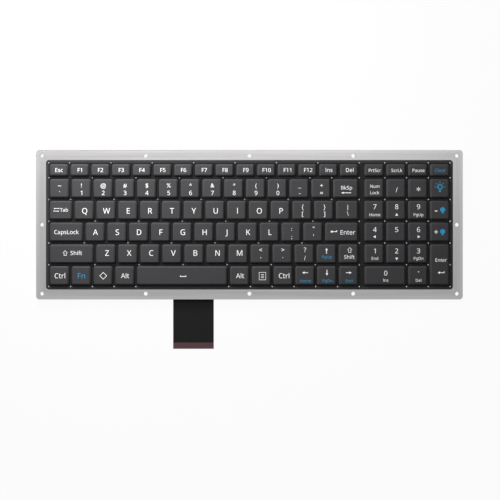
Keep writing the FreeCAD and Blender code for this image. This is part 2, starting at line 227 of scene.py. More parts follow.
# %% The wire class
class Wire:
    """One value of a material's nodes. Sums and products of wires add Math nodes."""

    def __init__(self, tree, socket=None):
        self.tree = tree
        self.socket = socket

    def node(self, kind, settings=None, inputs=None, output=0):
        """Adds a node, sets it up, then gives its inputs values or wires."""
        item = self.tree.nodes.new(kind)
        for name, value in (settings or {}).items():
            setattr(item, name, value)
        for name, value in (inputs or {}).items():
            self.feed(item.inputs[name], value)
        return Wire(self.tree, item.outputs[output] if item.outputs else None)

    def feed(self, socket, value):
        """Gives a socket a value, or links it to a wire."""
        if isinstance(value, Wire):
            self.tree.links.new(value.socket, socket)
        else:
            socket.default_value = value

    def maths(self, operation, first, second=0.0):
        return self.node("ShaderNodeMath", {"operation": operation}, {0: first, 1: second})

    def __add__(self, other):
        return self.maths("ADD", self, other)

    __radd__ = __add__

    def __sub__(self, other):
        return self.maths("SUBTRACT", self, other)

    def __rsub__(self, other):
        return self.maths("SUBTRACT", other, self)

    def __mul__(self, other):
        return self.maths("MULTIPLY", self, other)

    __rmul__ = __mul__

    def __gt__(self, other):
        return self.maths("GREATER_THAN", self, other)

    def __lt__(self, other):
        return self.maths("LESS_THAN", self, other)

    def __abs__(self):
        return self.maths("ABSOLUTE", self)

    def sine(self):
        return self.maths("SINE", self)

    def larger(self, other):
        """The larger of two values."""
        return self.maths("MAXIMUM", self, other)

    def axis(self, number):
        """One coordinate of a place."""
        return self.node("ShaderNodeSeparateXYZ", inputs={0: self}, output=number)

    def stretched(self, scale):
        """A place with its axes scaled, which draws a pattern out along the smaller ones."""
        return self.node("ShaderNodeMapping", inputs={"Vector": self, "Scale": scale})

    def noise(self, scale, detail=2.0):
        inputs = {"Vector": self, "Scale": scale, "Detail": detail}
        return self.node("ShaderNodeTexNoise", inputs=inputs)

    def beyond(self, size):
        """How far a place lies outside a centred rectangle; less than 0 inside it."""
        side = abs(self.axis(0)) - size[0] / 2
        return side.larger(abs(self.axis(1)) - size[1] / 2)

    def blend(self, dark, light):
        """A colour between two, by this value."""
        return self.node(
            "ShaderNodeMix",
            {"data_type": "RGBA"},
            {0: self, 6: (*dark, 1.0), 7: (*light, 1.0)},
            output=2,
        )


print("the wire class is ready")

# %% [markdown]
# ## What a finish is made of
# Each finish is one Principled shader whose colour, roughness and bump change with the place on the
# piece. Most of them follow a noise, so two helpers write that down: a colour that wanders between
# two shades, and a number that rises from a base. What is the same all over a surface is set on the
# shader's own socket and needs no node.

# %% Finishes
def grey(value):
    return (value, value, value)


def shades(scale, dark, light):
    """A colour that wanders between two shades, as a function of the place."""
    return lambda place: place.noise(scale).blend(dark, light)


def drift(scale, base, spread):
    """A number that rises from a base by up to a spread, as a function of the place."""
    return lambda place: place.noise(scale) * spread + base


def finish(name, colour, roughness, height=None, depth=0.0, **uniform):
    """A material. colour, roughness and height are functions of the place on the piece."""
    material = bpy.data.materials.new(name)
    material.use_nodes = True
    tree = material.node_tree
    shader = tree.nodes["Principled BSDF"]
    place = Wire(tree).node("ShaderNodeTexCoord", output="Object")
    place.feed(shader.inputs["Base Color"], colour(place))
    place.feed(shader.inputs["Roughness"], roughness(place))
    for socket, value in uniform.items():
        shader.inputs[socket.replace("_", " ")].default_value = value
    if height:
        bump = place.node("ShaderNodeBump", inputs={"Height": height(place), "Distance": depth})
        place.feed(shader.inputs["Normal"], bump)
    return material


print("finish, shades and drift are ready")

# %% [markdown]
# ## Hard grey caps and their ink
# The caps are moulded in a dark grey plastic with a fine, dull grain. Grain is too small to model,
# so a noise drives a little bump, the colour and the roughness together, and a much wider noise
# keeps two caps from looking the same. The legends let the backlight through, so the inks get a
# faint glow of their own.

# %% Cap and ink finishes
CAP_GRAIN = 2600
CAP_CLOUDS = 45
CAP_GRAIN_DEPTH = 0.02 * MM
CAP_DARK = (0.0535, 0.0515, 0.0545)
CAP_LIGHT = (0.076, 0.073, 0.077)
INK_GRAIN = 1800
INK_GLOW = 0.25


def cap_shade(place):
    """Fine grain over wide, faint clouds."""
    shade = place.noise(CAP_GRAIN) * 0.6 + place.noise(CAP_CLOUDS) * 0.4
    return shade.blend(CAP_DARK, CAP_LIGHT)


def printing_ink(name, dark, light, glow):
    return finish(
        name,
        shades(INK_GRAIN, dark, light),
        drift(INK_GRAIN, 0.5, 0.1),
        Emission_Color=(*glow, 1.0),
        Emission_Strength=INK_GLOW,
    )


key_plastic = finish(
    "key_plastic",
    cap_shade,
    drift(CAP_GRAIN, 0.55, 0.12),
    lambda place: place.noise(CAP_GRAIN),
    CAP_GRAIN_DEPTH,
    Specular_IOR_Level=0.06,
)
legend_white = printing_ink("legend_white", grey(0.80), grey(0.90), grey(1.0))
legend_blue = printing_ink(
    "legend_blue", dark=(0.010, 0.23, 0.42), light=(0.016, 0.28, 0.50), glow=(0.01, 0.21, 0.38)
)
KEY_FINISHES = [key_plastic, legend_white, legend_blue]
WHITE = KEY_FINISHES.index(legend_white)
BLUE = KEY_FINISHES.index(legend_blue)
print("finishes for the caps", [material.name for material in KEY_FINISHES])

# %% [markdown]
# ## Printed words
# Every legend starts as flat faces round the origin, about as large as it is printed. Words come
# from a text object, which Blender turns into a mesh. Blender's own font has round, bookish
# capitals, but its reserve holds the plain upright letters that are used in mathematics, and those
# look like the ones on a keyboard. The text's size isn't the height of a capital, so one capital
# is measured first.

# %% Words
PLAIN_CAPITAL_A = 0x1D5A0
PLAIN_SMALL_A = 0x1D5BA
PLAIN_ZERO = 0x1D7E2
PLAIN_RUNS = (("A", "Z", PLAIN_CAPITAL_A), ("a", "z", PLAIN_SMALL_A), ("0", "9", PLAIN_ZERO))
LOOKALIKES = {"I": "l", "?": "\uff1f"}
CURVE_STEPS = 2
SAME_PLACE = 0.0005


def plain(sign):
    """The upright form of a letter or figure. A bare stroke stands for the I, which has bars."""
    sign = LOOKALIKES.get(sign, sign)
    for first, last, start in PLAIN_RUNS:
        if first <= sign <= last:
            return chr(start + ord(sign) - ord(first))
    return sign


def lettering(text):
    """The flat faces of a word at text size 1, with its baseline on y = 0."""
    curve = bpy.data.curves.new("lettering", "FONT")
    curve.body = "".join(plain(sign) for sign in text)
    curve.resolution_u = CURVE_STEPS
    writer = bpy.data.objects.new("lettering", curve)
    bpy.context.scene.collection.objects.link(writer)
    bpy.context.view_layer.update()
    mesh = bpy.data.meshes.new_from_object(writer)
    flat = bmesh.new()
    flat.from_mesh(mesh)
    bmesh.ops.remove_doubles(flat, verts=flat.verts, dist=SAME_PLACE)
    bpy.data.objects.remove(writer)
    bpy.data.curves.remove(curve)
    bpy.data.meshes.remove(mesh)
    return flat


def reach(flat, axis):
    """The lowest and the highest coordinate along an axis."""
    places = [vert.co[axis] for vert in flat.verts]
    return min(places), max(places)


capital = lettering("H")
CAPITAL_HEIGHT = reach(capital, 1)[1]
capital.free()


def word(text, capital_height):
    """A word centred on the origin, by its width and by the height of its capitals."""
    flat = lettering(text)
    size = capital_height / CAPITAL_HEIGHT
    low, high = reach(flat, 0)
    centre = ((low + high) / 2, CAPITAL_HEIGHT / 2, 0)
    bmesh.ops.translate(flat, verts=flat.verts, vec=-Vector(centre))
    bmesh.ops.scale(flat, verts=flat.verts, vec=(size, size, size))
    return flat


print("a capital is", round(CAPITAL_HEIGHT, 3), "of the text size")

# %% [markdown]
# ## Printed arrows
# A circle with three corners is an arrow head, and a grid of one square, stretched, is a bar. An
# outline is a face whose middle is inset and deleted again, which leaves a border of even width.
# With these few words, an arrow is two lines of code, and it can be turned afterwards.

# %% Bars and circles
STROKE = 0.6 * MM


def bar(flat, x, y, width, depth, turn=0.0):
    """A rectangle centred on x, y."""
    place = Matrix.Translation((x, y, 0)) @ Matrix.Rotation(turn, 4, "Z")
    matrix = place @ Matrix.Diagonal((width, depth, 1, 1))
    made = bmesh.ops.create_grid(flat, x_segments=1, y_segments=1, size=0.5, matrix=matrix)
    return made["verts"]


def disc(flat, x, y, radius, corners, turn=0.0):
    """A filled circle, or with few corners a triangle or a diamond."""
    matrix = Matrix.Translation((x, y, 0)) @ Matrix.Rotation(turn, 4, "Z")
    bmesh.ops.create_circle(flat, cap_ends=True, segments=corners, radius=radius, matrix=matrix)


def turned(flat, turn):
    bmesh.ops.rotate(flat, verts=flat.verts, matrix=Matrix.Rotation(turn, 3, "Z"))
    return flat


def hollow(flat, border):
    """Leaves only a border of each face."""
    inner = flat.faces[:]
    bmesh.ops.inset_individual(flat, faces=inner, thickness=border)
    bmesh.ops.delete(flat, geom=inner, context="FACES")
    return flat


print("marks have a stroke of", STROKE / MM, "mm")

# %% Arrows
ARROW_CORNERS = 3


def arrow_head(turn, radius=1.5 * MM):
    flat = bmesh.new()
    disc(flat, 0, 0, radius, ARROW_CORNERS)
    return turned(flat, turn)


def arrow(turn, length=5.0 * MM, head=1.3 * MM):
    """An arrow that points up before it is turned."""
    flat = bmesh.new()
    disc(flat, 0, length / 2 - head, head, ARROW_CORNERS)
    bar(flat, 0, -head / 2, STROKE, length - head)
    return turned(flat, turn)


def return_arrow(length):
    """An arrow to the left whose tail turns up."""
    flat = arrow(math.pi / 2, length)
    bar(flat, length / 2 - STROKE / 2, STROKE, STROKE, 2 * STROKE)
    return flat


def tab_arrows(length=4.4 * MM, spread=2.3 * MM):
    """Two thin arrows that run against end bars, one above the other."""
    flat = bmesh.new()
    for side in (1, -1):
        y = side * spread / 2
        bar(flat, 0, y, length, STROKE * 0.7)
        tip = -side * (length / 2 - STROKE)
        disc(flat, tip, y, STROKE * 1.2, ARROW_CORNERS, side * math.pi / 2)
        bar(flat, side * length / 2, y, STROKE * 0.6, 2 * STROKE)
    return flat


def shift_arrow(width=4.6 * MM):
    """A hollow arrow: a head on a short stem, of which the border stays."""
    flat = bmesh.new()
    half = width / 2
    stem = width / 4
    right_side = [(stem, -half), (stem, 0), (half, 0)]
    left_side = [(-half, 0), (-stem, 0), (-stem, -half)]
    corners = [*right_side, (0, half), *left_side]
    flat.faces.new([flat.verts.new((x, y, 0)) for x, y in corners])
    flat.normal_update()
    return hollow(flat, STROKE * 0.85)


print("arrows, with heads of", ARROW_CORNERS, "corners")

# %% [markdown]
# ## Printed boxes and lamps
# The other signs are made in the same way: four corners give a diamond, many give the round head of
# a lamp, and a stretched bar with its middle taken out is a page. The signs' proportions are
# parts of a stroke or of a lamp's radius, so that each can be printed larger or smaller.

# %% Boxes and lamps
LAMP_SIDES = 16
RAYS = 5


def diamond(radius=3.3 * MM):
    flat = bmesh.new()
    disc(flat, 0, 0, radius, 4)
    return hollow(flat, STROKE * 1.1)


def page(width=6.0 * MM, depth=6.8 * MM):
    """A box with three lines in it, for the menu key."""
    flat = bmesh.new()
    bar(flat, 0, 0, width, depth)
    hollow(flat, STROKE * 0.8)
    for step in (-1, 0, 1):
        bar(flat, 0, step * depth / 5, width / 2.4, STROKE * 0.7)
    return flat


def space_mark(width=5.4 * MM):
    """The low bracket on the space bar."""
    flat = bmesh.new()
    bar(flat, 0, 0, width, STROKE)
    for side in (1, -1):
        bar(flat, side * (width - STROKE) / 2, STROKE * 0.7, STROKE, STROKE * 1.4)
    return flat


def lamp(radius):
    """A lamp: a round head on a foot."""
    flat = bmesh.new()
    disc(flat, 0, 0, radius, LAMP_SIDES)
    bar(flat, 0, -radius * 1.25, radius * 0.8, radius * 0.4)
    return flat


def shining_lamp(radius):
    """A hollow lamp on a longer foot, with short rays round the upper half of its head."""
    flat = bmesh.new()
    disc(flat, 0, 0, radius, LAMP_SIDES)
    hollow(flat, radius * 0.36)
    for step in (1.35, 1.8):
        bar(flat, 0, -radius * step, radius * 0.9, radius * 0.3)
    away = radius * 1.6
    for step in range(RAYS):
        turn = math.pi * step / (RAYS - 1)
        bar(flat, away * math.cos(turn), away * math.sin(turn), radius * 0.6, radius * 0.24, turn)
    return flat


print("a lamp's head has", LAMP_SIDES, "sides and", RAYS, "rays")

# %% [markdown]
# ## What each key says
# The legends follow a few patterns: a word in the function row, a sign above a figure in the number
# row, one letter, a figure above a small word on the number pad. Loops write the patterns, and the
# odd keys follow one by one. A place is given in millimetres from the middle of the key. The key
# that calls up a system's menu has a plain hollow diamond.

# %% Legends
UP = 0.0
LEFT = math.pi / 2
DOWN = math.pi
RIGHT = -math.pi / 2
FUNCTION_CAPITAL = 3.4 * MM
LETTER_CAPITAL = 4.8 * MM
WORD_CAPITAL = 3.8 * MM
SHIFT_CAPITAL = 3.5 * MM
SIGN_CAPITAL = 3.7 * MM
PAD_HEAD_CAPITAL = 2.8 * MM
PAD_FIGURE = 4.2 * MM
SMALL_CAPITAL = 2.5 * MM
LEGENDS = {}


def print_on(key, flat, x=0.0, y=0.0, ink=WHITE):
    """Notes a mark for a key; x and y are millimetres from its middle."""
    LEGENDS.setdefault(key, []).append((flat, x * MM, y * MM, ink))


def print_pair(key, upper, lower, high=2.7, low=-3.9):
    """Notes two signs for a key, one above the other."""
    print_on(key, word(upper, SIGN_CAPITAL), 0, high)
    print_on(key, word(lower, SIGN_CAPITAL), 0, low)


for number in range(1, 13):
    print_on(f"f{number}", word(f"F{number}", FUNCTION_CAPITAL))
for key, text in (("key_escape", "Esc"), ("insert", "Ins"), ("delete", "Del")):
    print_on(key, word(text, FUNCTION_CAPITAL))
for key, text in (("print_screen", "PrtScr"), ("scroll_lock", "ScrLk"), ("pause", "Pause")):
    print_on(key, word(text, PAD_HEAD_CAPITAL), 0, -0.3)
print_on("clear", word("Clear", PAD_HEAD_CAPITAL), 0, -0.3, BLUE)
for row, x, y in (("qwertyuiop", 0.3, -0.5), ("asdfghjkl", 0.2, -0.1), ("zxcvbnm", 0.9, 0.8)):
    for letter in row:
        print_on(f"key_{letter}", word(letter.upper(), LETTER_CAPITAL), x, y)
for figure, sign in zip("1234567890", "!@#$%^&*()"):
    print_pair(f"key_{figure}", sign, figure)
for key, upper, lower in zip(("grave", "minus", "equals"), "~_+", "`-="):
    print_pair(key, upper, lower)
for key, upper, lower in zip(("left_bracket", "right_bracket", "backslash"), "{}|", "[]\\"):
    print_pair(key, upper, lower, 3.0, -2.9)
for key, upper, lower in zip(("semicolon", "quote"), ":\"", ";'"):
    print_pair(key, upper, lower, 3.0, -3.9)
for key, upper, lower in zip(("comma", "period", "slash"), "<>?", ",./"):
    print_pair(key, upper, lower, 3.6, -3.5 if key == "slash" else -1.6)
print("patterned legends on", len(LEGENDS), "keys")

# %% Legends of the number pad
PAD_WORDS = {"7": "Home", "9": "PgUp", "1": "End", "3": "PgDn", "0": "Ins"}
PAD_ARROWS = {"8": UP, "4": LEFT, "6": RIGHT, "2": DOWN}
for row, y in (("789", 3.1), ("456", 2.2), ("123", 2.6), ("0", 2.3)):
    for figure in row:
        print_on(f"pad_{figure}", word(figure, PAD_FIGURE), 0, y)
for figure, text in PAD_WORDS.items():
    print_on(f"pad_{figure}", word(text, SMALL_CAPITAL), 0, -3.9)
for figure, turn in PAD_ARROWS.items():
    print_on(f"pad_{figure}", arrow_head(turn), 0, -4.0)
print_on("pad_point", word(".", 6.0 * MM), 0, 6.0)
print_on("pad_point", word("Del", SMALL_CAPITAL), 0, -4.0)
print_on("num_lock", word("Num", 2.7 * MM), 0, 1.9)
print_on("num_lock", word("Lock", 2.7 * MM), 0, -3.7)
print_on("pad_divide", word("/", 4.4 * MM), 0, -1.1)
print_on("pad_multiply", word("*", 6.0 * MM), 0, -1.8)
print_on("backlight", shining_lamp(2.3 * MM), -0.3, 1.4, BLUE)
print_on("dimmer", word("-", 6.5 * MM), -3.7, 0.6)
print_on("brighter", word("+", 5.0 * MM), -3.7, 0.2)
for key in ("dimmer", "brighter"):
    print_on(key, lamp(2.2 * MM), 2.0, 0.5, BLUE)
print_on("pad_enter", word("Enter", 2.9 * MM), 0.6, 4.2)
print_on("pad_enter", return_arrow(6.0 * MM), 0.6, -6.8)
print("legends on", len(LEGENDS), "keys")

# %% Legends of the wide and the lower keys
print_on("key_backspace", word("BkSp", 3.1 * MM), 0.3, 0.6)
print_on("key_backspace", arrow(LEFT, 8.4 * MM, 1.1 * MM), 0, -3.8)
print_on("key_tab", tab_arrows(), -4.0, 0.4)
print_on("key_tab", word("Tab", 3.0 * MM), 2.6, 0.3)
print_on("key_caps_lock", word("CapsLock", SHIFT_CAPITAL))
print_on("key_enter", return_arrow(6.0 * MM), -7.6, 0.4)
print_on("key_enter", word("Enter", WORD_CAPITAL), 4.8, -0.2)
print_on("key_left_shift", shift_arrow(), -5.8, 0.8)
print_on("key_left_shift", word("Shift", SHIFT_CAPITAL), 3.9, 0.8)
print_on("key_right_shift", shift_arrow(), 0.6, 3.4)
print_on("key_right_shift", word("Shift", 3.2 * MM), 0.2, -2.7)
for key in ("key_left_control", "right_control"):
    print_on(key, word("Ctrl", 4.3 * MM), 0.3)
for key in ("key_left_alt", "right_alt"):
    print_on(key, word("Alt", 4.1 * MM))
print_on("key_function", word("Fn", 4.7 * MM), ink=BLUE)
print_on("meta", diamond())
print_on("menu", page(), 0.5, -0.3)
print_on("key_space", space_mark(), 0.5, -0.6)
for key, turn, text, y in (
    ("cursor_up", UP, "PgUp", -2.6),
    ("cursor_left", LEFT, "Home", -4.5),
    ("cursor_down", DOWN, "PgDn", -4.3),
    ("cursor_right", RIGHT, "End", -4.5),
):
    print_on(key, arrow(turn), -0.4, 2.7)
    print_on(key, word(text, SMALL_CAPITAL), 0, y, BLUE)
print("legends on", len(LEGENDS), "of", len(CELLS), "keys")

# %% [markdown]
# ## A few words for solid shapes
# The caps, the plate and the rubber sheet share some moves: a box between two levels, a bevel, and a
# flat shape that is pulled up to a closed sheet. With these written once, the pieces below read as
# what they are. A bevel called from a script doesn't have the editor's defaults, so all its
# settings are given.

# %% Words for solid shapes
def front_face(verts):
    """The face of these vertices that looks to the front."""
    faces = {face for vert in verts for face in vert.link_faces}
    return max(faces, key=lambda face: (face.calc_center_median().z, face.normal.z))


def block(shape, x, y, size, rear, front):
    """A box between two levels."""
    stand = Matrix.Translation((x, y, (rear + front) / 2))
    matrix = stand @ Matrix.Diagonal((*size, front - rear, 1))
    return bmesh.ops.create_cube(shape, size=1.0, matrix=matrix)["verts"]


def bevelled(shape, geom, offset, segments, affect="EDGES"):
    """Rounds edges or corners."""
    return bmesh.ops.bevel(
        shape,
        geom=geom,
        offset=offset,
        offset_type="OFFSET",
        segments=segments,
        profile=0.5,
        affect=affect,
        material=-1,
        clamp_overlap=True,
    )


def thicken(shape, height):
    """Pulls flat faces up to a closed sheet."""
    grown = bmesh.ops.extrude_face_region(shape, geom=shape.faces[:])
    front = [item for item in grown["geom"] if isinstance(item, bmesh.types.BMVert)]
    bmesh.ops.translate(shape, verts=front, vec=(0, 0, height))
    bmesh.ops.recalc_face_normals(shape, faces=shape.faces)


print("words for solid shapes are ready")

# %% [markdown]
# ## A cap
# A cap is a block on a wider flange that the grid holds back. The flange is a box; its top is inset
# and pulled up for the walls, which lean in a little. The four upright corners are bevelled, and
# the top edge is a slope with soft ends: three insets that climb steeply, evenly and shallowly. The
# corners' radius is larger than the three insets together, because the corners would fold over
# otherwise.

# %% The cap's shape
WEB_WIDTH = 1.85 * MM
CAP_GAP = 0.3 * MM
CAP_DRAFT = 0.2 * MM
FLANGE_LEDGE = 0.7 * MM
FLANGE_REAR = 0.7 * MM
FLANGE_FRONT = 1.4 * MM
SHOULDER = 3.9 * MM
CORNER_RADIUS = 1.75 * MM
CORNER_STEPS = 3
EDGE_STEPS = ((0.14 * MM, 0.30 * MM), (1.00 * MM, 0.86 * MM), (0.30 * MM, 0.14 * MM))
CROWN = 5.2 * MM


def add_cap(shape, cell):
    """Adds the cap of one cell to a bmesh."""
    base = [length - WEB_WIDTH - 2 * CAP_GAP for length in (cell.width, cell.depth)]
    flange = [length + 2 * FLANGE_LEDGE for length in base]
    top = front_face(block(shape, cell.x, cell.y, flange, FLANGE_REAR, FLANGE_FRONT))
    bmesh.ops.inset_individual(shape, faces=[top], thickness=FLANGE_LEDGE)
    top = bmesh.ops.extrude_discrete_faces(shape, faces=[top])["faces"][0]
    bmesh.ops.translate(shape, verts=top.verts, vec=(0, 0, SHOULDER - FLANGE_FRONT))
    lean = [1 - 2 * CAP_DRAFT / length for length in base]
    to_middle = Matrix.Translation((-cell.x, -cell.y, 0))
    bmesh.ops.scale(shape, verts=top.verts, vec=(*lean, 1), space=to_middle)
    rim = top.edges[:]
    uprights = [edge for vert in top.verts for edge in vert.link_edges if edge not in rim]
    rounded = bevelled(shape, uprights, CORNER_RADIUS, CORNER_STEPS)
    top = front_face(rounded["verts"])
    for run, rise in EDGE_STEPS:
        bmesh.ops.inset_individual(shape, faces=[top], thickness=run, depth=rise)


slope = sum(run for run, rise in EDGE_STEPS)
print("a cap's top edge slopes over", round(slope / MM, 2), "mm")

# %% [markdown]
# ## Marks in the caps' tops
# All marks are pressed to the same small thickness, so that each is a closed body that lies in its
# cap's top. The print stands a little to the right of the keys' middles, as a print does whose
# stencil lay a little to one side, so one small shift goes for all of it.

# %% Legends in the tops
INK_DEPTH = 0.03 * MM
INK_SUNK = 0.01 * MM
LEGEND_SHIFT = 0.45 * MM


def pressed(flat, ink):
    """A closed mesh from a flat mark, with the ink's thickness and its material slot."""
    for face in flat.faces:
        face.material_index = ink
    thicken(flat, INK_DEPTH)
    mesh = bpy.data.meshes.new("mark")
    flat.to_mesh(mesh)
    flat.free()
    return mesh


def add_legends(shape, cell):
    """Adds the marks of one cell to a bmesh."""
    for flat, x, y, ink in LEGENDS.get(cell.name, []):
        mesh = pressed(flat, ink)
        place = (cell.x + LEGEND_SHIFT + x, cell.y + y, CROWN - INK_SUNK)
        mesh.transform(Matrix.Translation(place))
        shape.from_mesh(mesh)
        bpy.data.meshes.remove(mesh)


print("the ink stands", round((INK_DEPTH - INK_SUNK) / MM, 3), "mm over a cap")

# %% [markdown]
# ## All caps
# A piece is an object that rides on a body of the frame, and it stands for the nodes that it
# replaces. Keys that share a node go into one mesh. The flat faces keep flat shading: with smooth
# shading, the light would swell over a key's top as over a pillow. The rounded faces are smooth up
# to their creases.

# %% Put the caps together
CREASE = math.radians(50)
STRAIGHT_ON = 0.999


def new_thing(name, shape, materials):
    """Makes an object of a bmesh."""
    mesh = bpy.data.meshes.new(name)
    shape.to_mesh(mesh)
    shape.free()
    for material in materials:
        mesh.materials.append(material)
    thing = bpy.data.objects.new(name, mesh)
    bpy.context.scene.collection.objects.link(thing)
    return thing


def piece(name, shape, materials, body, slot, *nodes):
    """Makes a piece of a bmesh, which rides on a body and stands for nodes of the frame."""
    thing = new_thing(name, shape, materials)
    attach(thing, body)
    if nodes:
        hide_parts(*nodes)
    return thing


def shade_round(thing):
    """Smooth shading between creases, but not on faces that look straight to the front or back."""
    thing.data.set_sharp_from_angle(angle=CREASE)
    for polygon in thing.data.polygons:
        polygon.use_smooth = abs(polygon.normal.z) < STRAIGHT_ON


by_node = {}
for cell in CELLS:
    by_node.setdefault(cell.node, []).append(cell)
cap_faces = 0
for node, cells in by_node.items():
    shape = bmesh.new()
    for cell in cells:
        add_cap(shape, cell)
        add_legends(shape, cell)
    body = node if node in frame["bodies"] else "panel"
    caps = piece(f"{node}_caps", shape, KEY_FINISHES, body, "keycaps", node)
    shade_round(caps)
    cap_faces += len(caps.data.polygons)
print("cap pieces", len(by_node), "with", cap_faces, "faces")

# %% [markdown]
# ## The mounting plate
# The plate is a flat sheet with a window and twelve screw holes, and its outer edge is softly
# rounded, which draws a bright line along the sides that face the light. A sheet with holes is
# easiest from its outlines: a rounded rectangle, the window and the hole circles are drawn as
# closed edges, one fill makes the sheet between them, and it is pulled up to its thickness.

# %% The plate's shape
PLATE_SIZE = (374.0 * MM, 131.0 * MM)
PLATE_RADIUS = 3.0 * MM
PLATE_CORNER_STEPS = 8
PLATE_FRONT = 2.0 * MM
WINDOW_SIZE = (353.9 * MM, 110.9 * MM)
HOLE_RADIUS = 1.7 * MM
HOLE_SIDES = 24
HOLE_REACH = (182.0 * MM, 60.5 * MM)
HOLES_ALONG = [(step / 2, side) for side in (1, -1) for step in range(-2, 3)]
HOLES_AT_ENDS = [(-1, 0), (1, 0)]
RIM_ROUND = 0.35 * MM
RIM_STEPS = 3
RIM_FOLD = 1.0


def plate_outlines(shape):
    """The closed edges of the plate: rim, window and holes."""
    rim = bar(shape, 0, 0, *PLATE_SIZE)
    bevelled(shape, rim, PLATE_RADIUS, PLATE_CORNER_STEPS, "VERTICES")
    bar(shape, 0, 0, *WINDOW_SIZE)
    bmesh.ops.delete(shape, geom=shape.faces[:], context="FACES_ONLY")
    for across, along in HOLES_ALONG + HOLES_AT_ENDS:
        place = Matrix.Translation((across * HOLE_REACH[0], along * HOLE_REACH[1], 0))
        bmesh.ops.create_circle(
            shape, cap_ends=False, segments=HOLE_SIDES, radius=HOLE_RADIUS, matrix=place
        )


def near_outline(place):
    """True for a place at the plate's front, no further in than the corners' rounding."""
    reach_x, reach_y = (length / 2 - PLATE_RADIUS for length in PLATE_SIZE)
    return place.z > PLATE_FRONT / 2 and (abs(place.x) > reach_x or abs(place.y) > reach_y)


def on_rim(edge):
    """True for the front edges of the plate's outline, where its faces fold by a right angle."""
    near = all(near_outline(vert.co) for vert in edge.verts)
    return near and edge.calc_face_angle(0) > RIM_FOLD


plate = bmesh.new()
plate_outlines(plate)
bmesh.ops.triangle_fill(plate, use_beauty=True, use_dissolve=False, edges=plate.edges[:])
thicken(plate, PLATE_FRONT)
bevelled(plate, [edge for edge in plate.edges if on_rim(edge)], RIM_ROUND, RIM_STEPS)
open_edges = sum(not edge.is_manifold for edge in plate.edges)
print("plate faces", len(plate.faces), "open edges", open_edges)

# %% [markdown]
# ## Brushed aluminium
# Brushing leaves fine scratches along each side of the plate, so the pattern turns at the corners
# like a picture frame. The distance from the outline gives the direction across the scratches: the
# larger of the two distances past the sides. A noise that is fine in that direction and long in the
# other draws the scratches. They are faint in the colour and plainer in the roughness and the bump,
# because the eye reads a brushed surface by how its shine breaks up. Towards the rim the colour is
# painted paler: a painted highlight, for the light that a rounded edge catches.

# %% Plate finish
COARSE_LINES = 700
FINE_LINES = 3600
LINE_WANDER = 9
LINE_CONTRAST = 0.9
LINE_DEPTH = 0.008 * MM
RIM_HIGHLIGHT_WIDTH = 3.5 * MM
RIM_HIGHLIGHT = 0.35
PLATE_TONE = 0.4
PLATE_DARK = (0.280, 0.275, 0.279)
PLATE_LIGHT = (0.432, 0.423, 0.430)


def brushing(place, fineness):
    """Noise in lines that follow the plate's sides."""
    across = place.beyond(PLATE_SIZE) * fineness
    along = (place.axis(0) + place.axis(1)) * LINE_WANDER
    depth = place.axis(2) * fineness
    lines = place.node("ShaderNodeCombineXYZ", inputs={0: across, 1: along, 2: depth})
    return lines.noise(1.0, detail=3)


def plate_shade(place):
    """Scratches, and a painted highlight: a paler band that grows towards the rim."""
    scratches = brushing(place, COARSE_LINES) + brushing(place, FINE_LINES) - 1
    # Painted highlight: the colour grows paler towards the rim, where a rounded edge catches the
    # light.
    rim_highlight = (place.beyond(PLATE_SIZE) * (1 / RIM_HIGHLIGHT_WIDTH) + 1).larger(0)
    shade = scratches * LINE_CONTRAST + rim_highlight * RIM_HIGHLIGHT + PLATE_TONE
    return shade.blend(PLATE_DARK, PLATE_LIGHT)


brushed_aluminium = finish(
    "brushed_aluminium",
    plate_shade,
    lambda place: brushing(place, FINE_LINES) * 0.24 + 0.34,
    lambda place: brushing(place, FINE_LINES),
    LINE_DEPTH,
    Metallic=1.0,
)
shade_round(piece("plate_sheet", plate, [brushed_aluminium], "panel", "plate", "mounting_plate"))
print("plate finish", brushed_aluminium.name)

# %% [markdown]
# ## Rivets
# A small bright head sits on many crossings of the grid. There are so many that each is only a stud
# of ten sides, and smooth shading makes a dome of it. The places follow the grid: for each line,
# the table names the row of keys whose boundaries it counts, and the boundaries that have a rivet.

# %% Rivet heads
GRID_FRONT = 2.6 * MM
RIVET_RADIUS = 0.68 * MM
RIVET_HEIGHT = 0.3 * MM
RIVET_RADII = (RIVET_RADIUS, RIVET_RADIUS * 0.75)
RIVET_SHOULDER = (RIVET_RADIUS * 0.4, RIVET_HEIGHT * 0.35)
RIVET_SIDES = 10
LOOKS_BACK = -0.5
NICKEL_GRAIN = 900
RIVETED = [
    (0, range(1, 14, 2)),
    (1, [*range(2, 13, 2), 13]),
    (1, range(1, 14, 2)),
    (2, range(2, 13, 2)),
    (3, range(1, 12, 2)),
    (4, range(1, 12, 2)),
    (5, range(1, 11)),
]


def stud(shape, place, radii, height, shoulder, sides):
    """A cone that stands on a place; its top is inset and raised once more for a soft shoulder."""
    run, rise = shoulder
    wall = height - rise
    made = bmesh.ops.create_cone(
        shape,
        cap_ends=True,
        cap_tris=False,
        segments=sides,
        radius1=radii[0],
        radius2=radii[1],
        depth=wall,
        matrix=Matrix.Translation((*place[:2], place[2] + wall / 2)),
    )
    top = front_face(made["verts"])
    bmesh.ops.inset_individual(shape, faces=[top], thickness=run, depth=rise)


def rivet_places():
    """The middle of each rivet on the grid's front."""
    for line, (row, steps) in enumerate(RIVETED):
        level = LINES[line][0]
        main_edges = LINES[row][1]
        pad_edges = LINES[min(line, len(ROWS) - 1)][2]
        for step in (0, *steps, -1):
            yield main_edges[step], level, GRID_FRONT
        for edge in (*pad_edges[1:PAD_COLUMNS], BLOCK_WIDTH / 2):
            yield edge, level, GRID_FRONT


